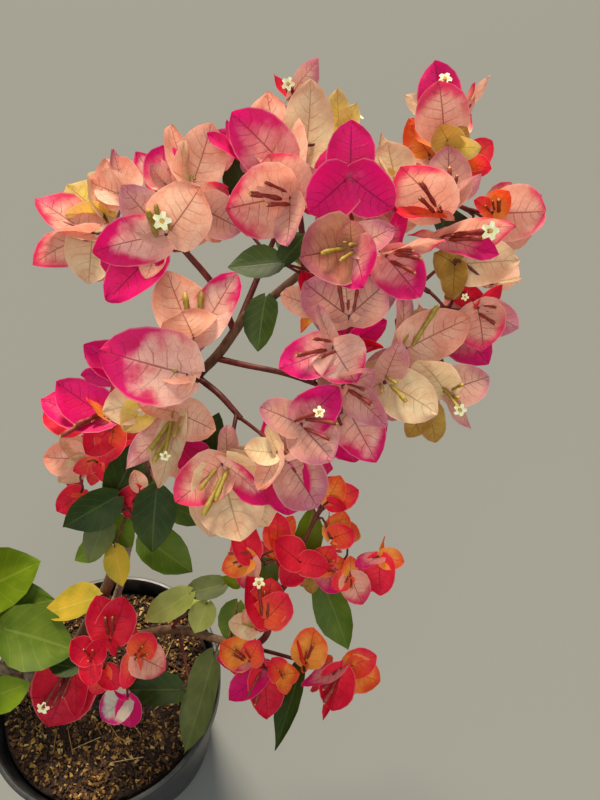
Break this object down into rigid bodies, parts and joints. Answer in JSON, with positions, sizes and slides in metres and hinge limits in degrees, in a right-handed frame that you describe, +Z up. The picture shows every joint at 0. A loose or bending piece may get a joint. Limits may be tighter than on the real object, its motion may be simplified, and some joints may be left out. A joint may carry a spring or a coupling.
{
  "type": "potted bougainvillea bush",
  "caption": "Young bougainvillea bush with one arching stem and sprays of papery bracts and leaves, in a round nursery pot.",
  "frame": {"origin": "centre of the pot's flat underside", "axes": "+Z up, +X along the arch of the main stem, +Y away from the crown's open side"},
  "size_m": [0.5196, 0.3803, 0.6882],
  "materials": {
    "pot_plastic": "satin",
    "potting_mix": "matte",
    "old_bark": "matte",
    "young_bark": "matte",
    "bract_cream": "matte",
    "bract_peach": "matte",
    "bract_pink": "matte",
    "bract_magenta": "matte",
    "bract_crimson": "matte",
    "bract_orange": "matte",
    "leaf_green": "matte",
    "leaf_pale": "matte"
  },
  "bodies": {
    "root": {"bracts_back_left": "bract_peach", "bracts_back_low": "bract_peach", "bracts_back_right": "bract_pink", "bracts_centre_high": "bract_magenta", "bracts_centre_low": "bract_peach", "bracts_fork_hanging": "bract_pink", "bracts_fork_high": "bract_pink", "bracts_fork_tip": "bract_magenta", "bracts_left_back": "bract_peach", "bracts_left_front": "bract_pink", "bracts_left_tip": "bract_cream", "bracts_low_left": "bract_cream", "bracts_low_right": "bract_cream", "bracts_orange_low": "bract_orange", "bracts_orange_right": "bract_orange", "bracts_orange_rise": "bract_crimson", "bracts_orange_tip": "bract_orange", "bracts_orange_top": "bract_orange", "bracts_red_front": "bract_crimson", "bracts_red_left": "bract_crimson", "bracts_red_left_low": "bract_crimson", "bracts_red_pot": "bract_crimson", "bracts_right_low": "bract_peach", "bracts_right_middle": "bract_pink", "bracts_right_outer": "bract_pink", "bracts_right_tip": "bract_orange", "bracts_right_top": "bract_magenta", "bracts_stem_cup": "bract_peach", "bracts_stem_hanging": "bract_peach", "bracts_stem_left": "bract_magenta", "bracts_top": "bract_pink", "bracts_top_front": "bract_peach", "crown_bough_back": "young_bark", "crown_bough_outer": "young_bark", "crown_bough_right": "young_bark", "crown_bough_top": "young_bark", "leaves_left": "leaf_pale", "leaves_pot_front": "leaf_green", "leaves_pot_left": "leaf_green", "leaves_pot_right": "leaf_pale", "leaves_stem": "leaf_green", "leaves_stem_back": "leaf_green", "left_bough": "old_bark", "left_fork": "young_bark", "low_fork": "young_bark", "main_stem_high": "young_bark", "main_stem_low": "young_bark", "main_stem_middle": "young_bark", "main_stem_tip": "young_bark", "pot": "pot_plastic", "pruned_stub": "old_bark", "right_bough": "young_bark", "right_bough_rise": "young_bark", "right_fork": "young_bark", "second_stem": "old_bark", "soil": "potting_mix", "stub_bough": "old_bark", "trunk": "old_bark"}
  },
  "joints": []
}
